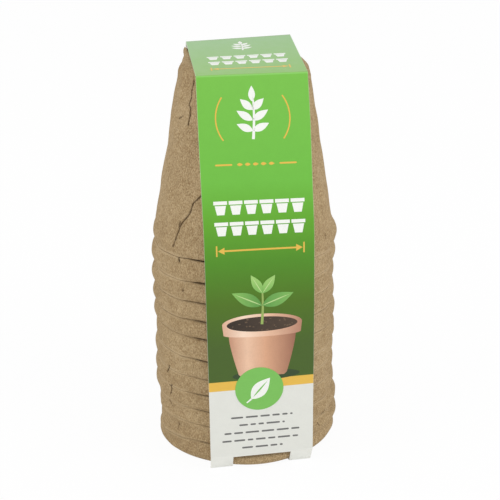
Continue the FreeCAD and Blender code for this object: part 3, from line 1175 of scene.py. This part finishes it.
def print_piece(name, outlines, ink, layer=0):
    """Ink on the card: thin closed plates that follow its folds, one layer over another."""
    lift = (0.02 + 0.012 * layer) * MM
    sink = -0.02 * MM
    cut_step = 2 * MM
    line = card_line()
    work = bmesh.new()
    for outline in outlines:
        work.faces.new([work.verts.new((a * MM, d * MM, 0.0)) for a, d in outline])
    work.normal_update()
    bmesh.ops.triangulate(work, faces=work.faces)
    # Cut across both ways, so that the plates can bend
    for axis in (0, 1):
        values = [v.co[axis] for v in work.verts]
        first = math.floor(min(values) / cut_step) * cut_step
        for cut in np.arange(first, max(values), cut_step):
            at, normal = Vector(), Vector()
            at[axis], normal[axis] = cut, 1.0
            geometry = work.verts[:] + work.edges[:] + work.faces[:]
            bmesh.ops.bisect_plane(work, geom=geometry, dist=1e-7, plane_co=at, plane_no=normal)
    made = bmesh.ops.extrude_face_region(work, geom=work.faces[:])
    for vert in (item for item in made["geom"] if isinstance(item, bmesh.types.BMVert)):
        vert.co.z = 1.0
    across, down, is_outer = np.array([v.co for v in work.verts]).T
    placed = line.place(across, down, np.where(is_outer > 0.5, lift, sink))
    card_place = work.verts.layers.float_vector.new("card_place")
    for vert, point, side, drop in zip(work.verts, placed, across, line.drop(down)):
        vert.co = point
        vert[card_place] = (side, drop, 0.0)
    work.normal_update()
    bmesh.ops.recalc_face_normals(work, faces=work.faces)
    mesh = bpy.data.meshes.new(name)
    work.to_mesh(mesh)
    work.free()
    mesh.materials.append(ink)
    return dress(add_object(name, mesh), SLEEVE_BODY, "card")


def print_front(inks):
    """The front panel's ornaments, from the top crease down."""
    print_piece("sprig_print", sprig((-0.5, 15.5), 21), inks["white"])
    arcs = [ring_arc((-0.5, 17.5), 15.2, 0.55, middle, 0.62)
            for middle in (math.pi / 2, math.pi * 3 / 2)]
    print_piece("side_arcs_print", arcs, inks["yellow"])
    rules = [capsule(low, low + 7.0, 36.0, 0.7) for low in (-16.5, 9.5)]
    band = rules + seed_row(np.linspace(-6.4, 6.4, 5), 36.0)
    print_piece("seed_row_print", band, inks["yellow"])
    signs = sign_rows(np.linspace(-15.2, 16.2, 6), (53.4, 62.0), 5.6)
    print_piece("pot_rows_print", signs, inks["white"])
    arrow = width_arrow(-17.5, 18.3, 71.2, 0.75, 1.6, (0.5, 3.2, 1.5), 2.3)
    print_piece("width_arrow_print", arrow, inks["yellow"])


def print_picture(inks):
    """A generic picture: a peach pot of dark soil with a young green plant."""
    centre, rim_top, rim_low, body_low = 0.6, 104.0, 109.5, 128.0
    shadow = disc((centre + 1.5, body_low - 0.3), 14.5, 2.4)
    print_piece("picture_shadow", [shadow], inks["shade"])
    half_top, half_foot, taper = 14.2, 9.2, 4.2
    right = [(centre + half_top - taper * t ** 1.3, rim_low + (body_low - rim_low) * t)
             for t in np.linspace(0.1, 0.94, 8)]
    left = [(2 * centre - a, d) for a, d in reversed(right)]
    body = [(centre - half_top, rim_low - 1), (centre + half_top, rim_low - 1), *right,
            (centre + half_foot, body_low), (centre - half_foot, body_low), *left]
    print_piece("picture_pot_body", [body], inks["peach"], 1)
    rim_edge = rim_low - 0.8
    curve = [(centre + 16.0 * math.cos(t), rim_edge + 1.3 * math.sin(t))
             for t in np.linspace(0.1, math.pi - 0.1, 14)]
    rim = [(centre - 16.8, rim_top), (centre + 16.8, rim_top), (centre + 16.3, rim_edge),
           *curve, (centre - 16.3, rim_edge)]
    print_piece("picture_pot_rim", [rim], inks["peach_light"], 2)
    mouth = disc((centre, rim_top), 16.8, 4.3)
    print_piece("picture_pot_mouth", [mouth], inks["peach_light"], 3)
    soil = disc((centre, rim_top + 0.3), 14.9, 3.3)
    print_piece("picture_pot_soil", [soil], inks["soil"], 4)
    rng = np.random.default_rng(12)
    crumbs = []
    for _ in range(24):
        turn, far = rng.uniform(0, math.tau), math.sqrt(rng.uniform(0, 0.85))
        at = (centre + 14.2 * far * math.cos(turn), rim_top + 0.3 + 3.0 * far * math.sin(turn))
        crumbs.append(disc(at, rng.uniform(0.25, 0.6), rng.uniform(0.18, 0.38), 9))
    print_piece("picture_soil_crumbs", crumbs, inks["crumb"], 5)
    stem = [(centre + 0.5 * math.sin(t * 2.2), rim_top - 14 * t)
            for t in np.linspace(-0.03, 1, 9)]
    print_piece("picture_stem", [ribbon(stem, np.linspace(1.15, 0.7, 9))], inks["stem"], 6)
    low, low_turns = (centre + 0.2, rim_top - 8.0), (-1.12, 1.2)
    high, high_turns = (centre + 0.4, rim_top - 13.4), (-0.52, 0.60)
    print_piece("picture_large_leaves", leaf_pair(low, 14.0, 5.6, low_turns), inks["leaf"], 7)
    small = leaf_pair(high, 9.5, 3.9, high_turns)
    print_piece("picture_small_leaves", small, inks["leaf_light"], 8)
    veins = leaf_pair(low, 12.6, 0.5, low_turns) + leaf_pair(high, 8.4, 0.4, high_turns)
    print_piece("picture_veins", veins, inks["vein"], 9)


def print_foot(inks):
    """Badge and rows of short grey dashes below the stripe."""
    centre, leaf_turn = (-1.0, 134.0), 0.72
    print_piece("badge_print", [disc(centre, 10.4, 9.9, 72)], inks["badge"], 10)
    a, d = centre[0] - 3.6, centre[1] + 4.6
    stalk = ribbon([(a - 2.0, d + 1.6), (a, d)], [0.5, 0.8])
    blade = leaf((a, d), 12.5, 6.4, leaf_turn)
    print_piece("badge_leaf_print", [blade, stalk], inks["white"], 11)
    vein = leaf((a + 0.8, d - 0.9), 9.6, 0.7, leaf_turn)
    print_piece("badge_vein_print", [vein], inks["badge"], 12)
    dashes = dash_rows(np.linspace(147.0, 161.5, 5), (13.5, 10.0, 16.5, 17.5, 9.0), 5)
    print_piece("grey_dashes_print", dashes, inks["grey"])


def print_top(inks):
    """The top panel repeats the front's signs, smaller."""
    signs = sign_rows(np.linspace(-13.5, 14.5, 6), (-25.5, -17.5), 4.9)
    print_piece("top_pot_rows_print", signs, inks["white"])
    arrow = width_arrow(-15.5, 16.5, -9.0, 0.8, 1.4, (0.4, 2.9, 1.4), 2.1)
    print_piece("top_arrow_print", arrow, inks["yellow"])
    print_piece("top_sprig_print", sprig((0.0, -43.0), 14), inks["white"])


def print_back(inks):
    """A sprig, a seed row, a row of pot signs and dashes, upright when seen from behind."""
    line = card_line()
    turned_over = (line.length + line.back_crease) / MM
    light = dash_rows(np.linspace(106.0, 121.0, 5), (17.0, 15.5, 17.5, 12.0, 14.5), 9)
    grey = dash_rows(np.linspace(141.0, 158.0, 6), (17.5, 16.5, 17.5, 15.0, 17.0, 10.0), 3)
    for name, shapes, ink in (
            ("back_sprig_print", sprig((0.0, 66), 22), "white"),
            ("back_seed_row_print", seed_row(np.linspace(-12.8, 12.8, 9), 84), "yellow"),
            ("back_pot_row_print", sign_rows(np.linspace(-15.6, 15.6, 6), (95,), 5.6), "white"),
            ("back_light_dashes_print", light, "white"),
            ("back_grey_dashes_print", grey, "grey")):
        behind = [[(-a, turned_over - d) for a, d in shape] for shape in shapes]
        print_piece(name, behind, inks[ink])


def make_inks(card, group):
    """The inks by name: one colour each, or shaded along the card."""
    plain = {
        "white": card.white, "yellow": card.yellow, "badge": card.badge,
        "grey": (0.15, 0.15, 0.145), "shade": (0.035, 0.065, 0.022),
        "stem": (0.30, 0.42, 0.11), "vein": (0.50, 0.68, 0.28),
    }
    crumb = (0.13, 0.085, 0.052)
    inks = {name: ink_material(f"{name}_ink", group, ((0.0, colour), (1.0, colour)))
            for name, colour in plain.items()}
    inks["crumb"] = ink_material("crumb_ink", group, ((0.0, crumb), (1.0, crumb)), depth=0.4)
    # Direction, from where to where in mm, grain, and the colours by share of the way
    for name, along, low, high, depth, stops in (
            ("peach", "X", -14, 15, 0.16, (
                (0.0, (0.50, 0.25, 0.155)), (0.28, (0.80, 0.52, 0.36)),
                (0.55, (0.66, 0.36, 0.22)), (1.0, (0.30, 0.13, 0.08)))),
            ("peach_light", "X", -17, 18, 0.14, (
                (0.0, (0.66, 0.38, 0.25)), (0.28, (0.90, 0.68, 0.53)),
                (0.6, (0.76, 0.47, 0.32)), (1.0, (0.42, 0.20, 0.13)))),
            ("soil", "X", -15, 15, 0.5, (
                (0.0, (0.030, 0.020, 0.014)), (1.0, (0.075, 0.048, 0.030)))),
            ("leaf", "X", -14, 15, 0.16, (
                (0.0, (0.26, 0.52, 0.12)), (0.5, (0.10, 0.30, 0.06)), (1.0, (0.22, 0.48, 0.11)))),
            ("leaf_light", "Y", 80, 92, 0.14, (
                (0.0, (0.42, 0.66, 0.20)), (1.0, (0.16, 0.42, 0.08))))):
        inks[name] = ink_material(f"{name}_ink", group, stops, along, low, high, depth)
    return inks


# Stage

def turned(front, side):
    """Place in the frame of a point given along and across the camera's level direction."""
    angle = bpy.context.scene.pot_stage.azimuth
    x = side * math.cos(angle) + front * math.sin(angle)
    y = -side * math.sin(angle) + front * math.cos(angle)
    return x, y


def when_seen(tree, share):
    """The share for camera, glossy and transmission rays, and 0 for all others."""
    path = add_node(tree, "ShaderNodeLightPath").outputs
    seen = maths(tree, "MAXIMUM", path["Is Camera Ray"], path["Is Glossy Ray"])
    seen = maths(tree, "MAXIMUM", seen, path["Is Transmission Ray"])
    return maths(tree, "MULTIPLY", seen, share)


def build_floor():
    """White floor that looks lit evenly, with only a faint shadow."""
    reach, gap = 6.0, 0.05 * MM
    corners = [(x * reach, y * reach, -gap) for x, y in ((-1, -1), (1, -1), (1, 1), (-1, 1))]
    material = bpy.data.materials.new("white_floor")
    material.use_nodes = True
    tree = material.node_tree
    shader = tree.nodes["Principled BSDF"]
    shader.inputs["Base Color"].default_value = (0.95, 0.95, 0.95, 1)
    shader.inputs["Roughness"].default_value = 0.9
    shader.inputs["Specular IOR Level"].default_value = 0.0
    glow = add_node(tree, "ShaderNodeEmission", {"Color": (1, 1, 1, 1), "Strength": 1.0})
    mixed = add_node(tree, "ShaderNodeMixShader", {
        0: when_seen(tree, 0.95), 1: shader.outputs[0], 2: glow.outputs[0]})
    tree.links.new(mixed.outputs[0], tree.nodes["Material Output"].inputs["Surface"])
    floor = make_mesh("floor", corners, [(0, 1, 2, 3)], [material])


def build_world(stage):
    """White surroundings, weaker on the object than where they are seen."""
    world = bpy.data.worlds.new("white_surroundings")
    bpy.context.scene.world = world
    world.use_nodes = True
    tree = world.node_tree
    back = tree.nodes["Background"]
    back.inputs["Color"].default_value = (1, 1, 1, 1)
    strength = add_node(tree, "ShaderNodeMapRange", {
        "Value": when_seen(tree, 1.0), "To Min": stage.fill, "To Max": 1.0})
    tree.links.new(strength.outputs["Result"], back.inputs["Strength"])


def add_softbox(name, front, side, height, size, power):
    """Round soft light, aimed at the middle of the stack."""
    light = bpy.data.lights.new(name, "AREA")
    light.shape = "DISK"
    light.size = size
    light.energy = power
    lamp = add_object(name, light)
    lamp.location = (*turned(-front, side), height)
    aim = Vector((0, 0, CARD_HIGH.z / 2)) - lamp.location
    lamp.rotation_euler = aim.to_track_quat("-Z", "Y").to_euler()


def build_camera(stage):
    """Camera a little above the stack and to its left."""
    camera = add_object("camera", bpy.data.cameras.new("camera"))
    target = Vector((*turned(0.0, stage.target_side), stage.target_height))
    level = stage.distance * math.cos(stage.elevation)
    rise = stage.distance * math.sin(stage.elevation)
    camera.location = (*turned(-level, stage.target_side), stage.target_height + rise)
    camera.rotation_euler = (target - camera.location).to_track_quat("-Z", "Y").to_euler()
    camera.data.sensor_width = 36
    camera.data.lens = stage.lens
    camera.data.clip_end = 30
    bpy.context.scene.camera = camera


class POTSTACK_OT_pots(bpy.types.Operator):
    """Make the nested fibre pots"""
    bl_idname = "potstack.pots"
    bl_label = "Fibre Pots"

    def execute(self, context):
        skin = fibre_material("moulded_fibre", context.scene.pot_sizes, fibre_group())
        for number in range(len(POT_NODES)):
            build_pot(number, [skin])
        return {"FINISHED"}


class POTSTACK_OT_sleeve(bpy.types.Operator):
    """Make the folded card sleeve and its print"""
    bl_idname = "potstack.sleeve"
    bl_label = "Card Sleeve"

    def execute(self, context):
        card = context.scene.card_sizes
        group = paper_group()
        build_sleeve(print_material(card, group), board_material(card, group))
        inks = make_inks(card, group)
        for prints in (print_front, print_picture, print_foot, print_top, print_back):
            prints(inks)
        return {"FINISHED"}


class POTSTACK_OT_stage(bpy.types.Operator):
    """Make the floor, the lights and the camera"""
    bl_idname = "potstack.stage"
    bl_label = "Stage"

    def execute(self, context):
        stage = context.scene.pot_stage
        context.scene.view_settings.view_transform = "Standard"
        build_camera(stage)
        build_world(stage)
        build_floor()
        add_softbox("left_softbox", 0.75, -1.15, 0.9, 0.9, stage.left_key)
        add_softbox("right_softbox", 0.75, 1.15, 0.9, 0.9, stage.right_key)
        return {"FINISHED"}


class POTSTACK_PT_panel(bpy.types.Panel):
    """Buttons that make each piece"""
    bl_idname = "POTSTACK_PT_panel"
    bl_label = "Fibre Pot Stack"
    bl_space_type = "VIEW_3D"
    bl_region_type = "UI"
    bl_category = "Pot Stack"

    def draw(self, context):
        for operator in OPERATORS:
            self.layout.operator(operator.bl_idname)


OPERATORS = (POTSTACK_OT_stage, POTSTACK_OT_pots, POTSTACK_OT_sleeve)
PROPERTIES = (("pot_sizes", PotSizes), ("card_sizes", CardSizes), ("pot_stage", StageSizes))


def register():
    for name, group in PROPERTIES:
        bpy.utils.register_class(group)
        setattr(bpy.types.Scene, name, bpy.props.PointerProperty(type=group))
    for operator in OPERATORS:
        bpy.utils.register_class(operator)
    bpy.utils.register_class(POTSTACK_PT_panel)


def unregister():
    bpy.utils.unregister_class(POTSTACK_PT_panel)
    for operator in reversed(OPERATORS):
        bpy.utils.unregister_class(operator)
    for name, group in reversed(PROPERTIES):
        delattr(bpy.types.Scene, name)
        bpy.utils.unregister_class(group)


def main():
    register()
    bpy.ops.potstack.stage()
    bpy.ops.potstack.pots()
    bpy.ops.potstack.sleeve()


if __name__ == "__main__":
    main()
